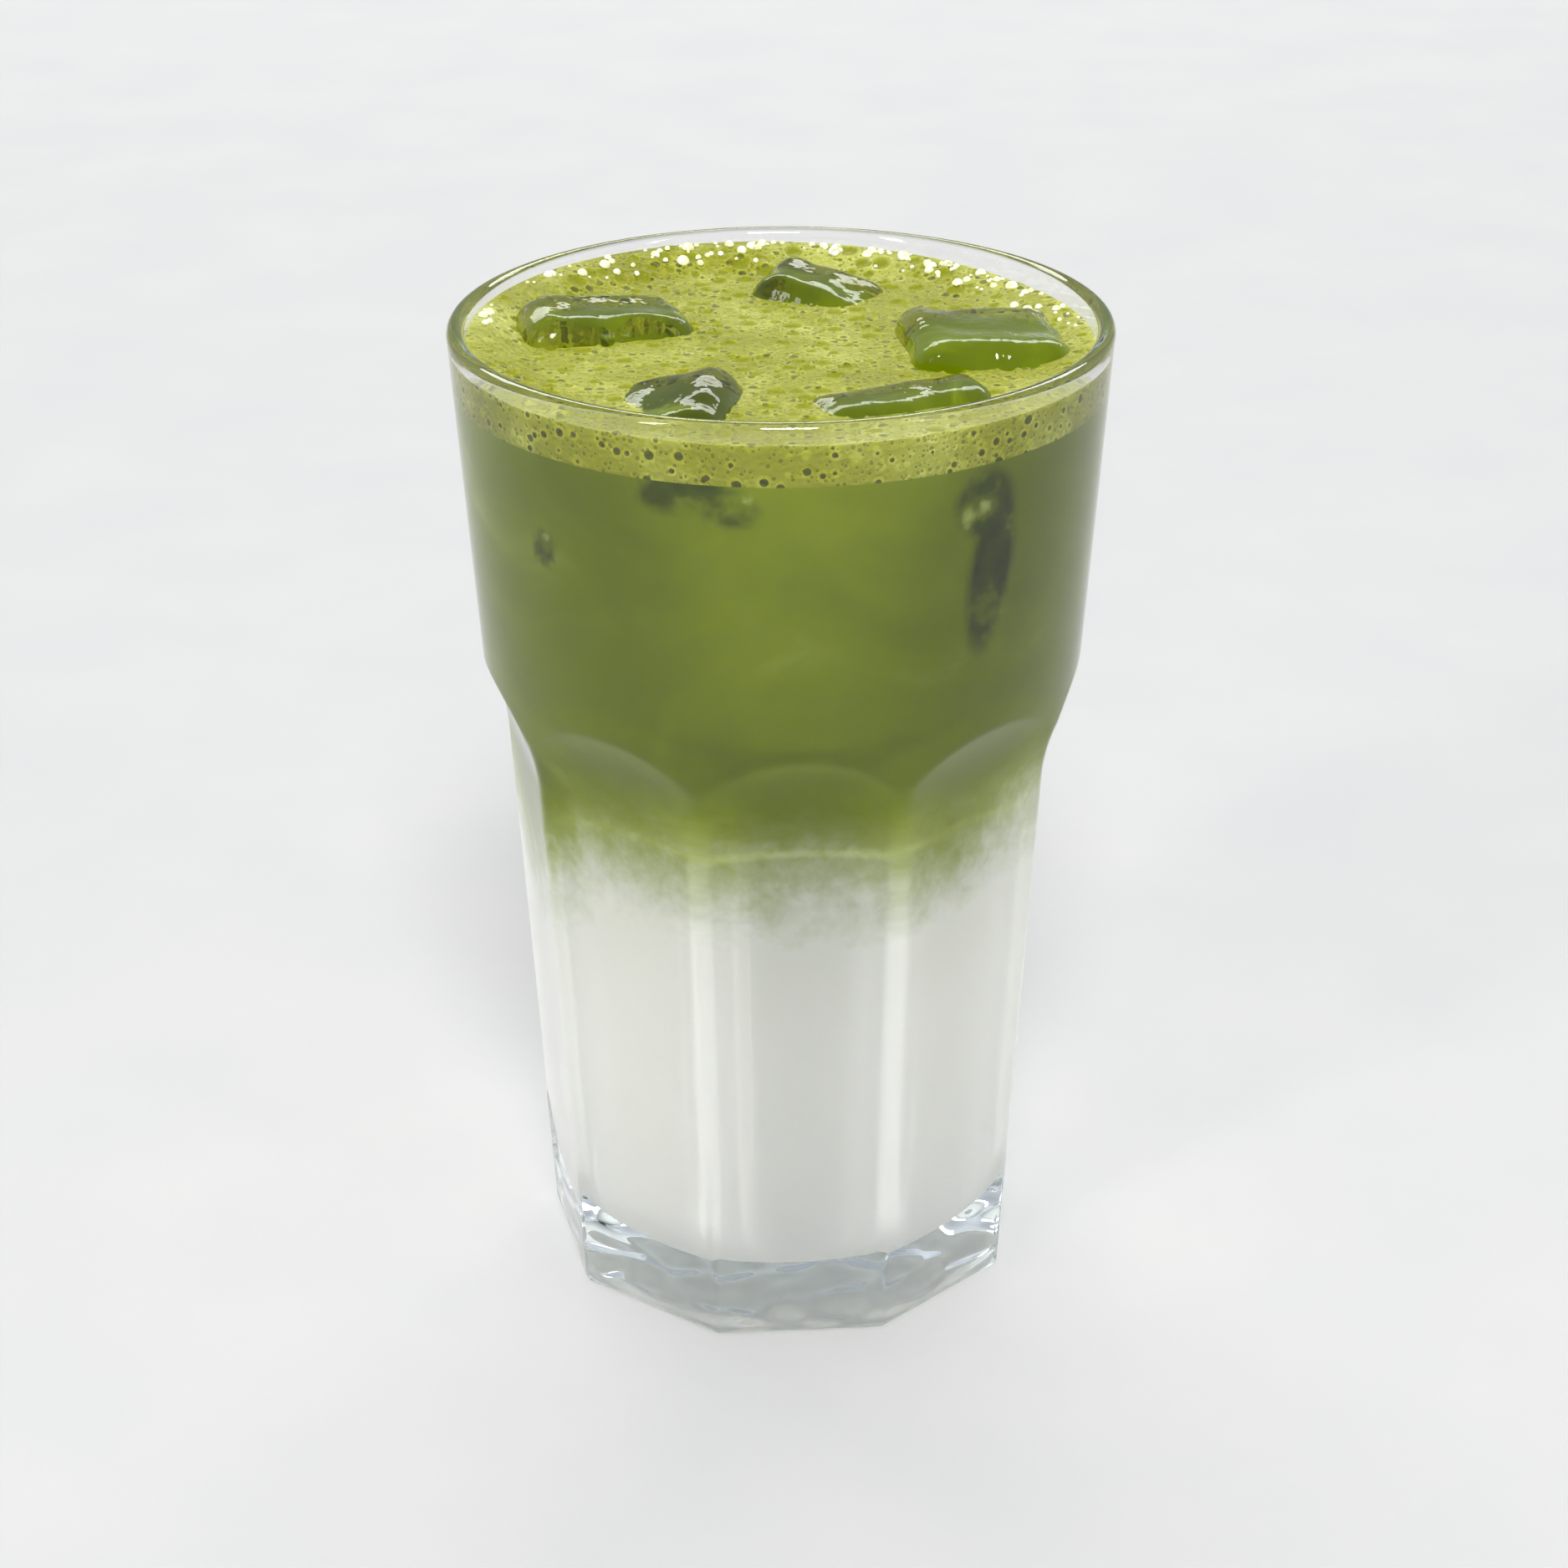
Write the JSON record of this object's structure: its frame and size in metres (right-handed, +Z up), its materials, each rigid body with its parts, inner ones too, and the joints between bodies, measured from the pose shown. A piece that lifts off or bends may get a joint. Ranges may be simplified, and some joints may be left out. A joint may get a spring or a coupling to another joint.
{
  "type": "iced matcha latte",
  "caption": "Iced matcha latte in a tall faceted tumbler: white milk below, green matcha above, bubbly foam with ice breaking the surface.",
  "frame": {"origin": "centre of the underside of the glass, on the surface it stands on", "axes": "+Z up along the axis of the glass; -Y is the front, the side that the picture shows"},
  "size_m": [0.09, 0.09, 0.1412],
  "materials": {
    "glass": "clear pressed and tempered glass, polished",
    "milk": "opaque cold milk",
    "matcha": "cloudy green tea, clouding into the milk below",
    "foam": "fine pale green foam with open bubbles",
    "ice": "clear wet melting ice"
  },
  "bodies": {
    "root": {"glass": "glass", "milk": "milk", "matcha": "matcha", "foam": "foam", "ice_1": "ice", "ice_2": "ice", "ice_3": "ice", "ice_4": "ice", "ice_5": "ice"}
  },
  "joints": []
}
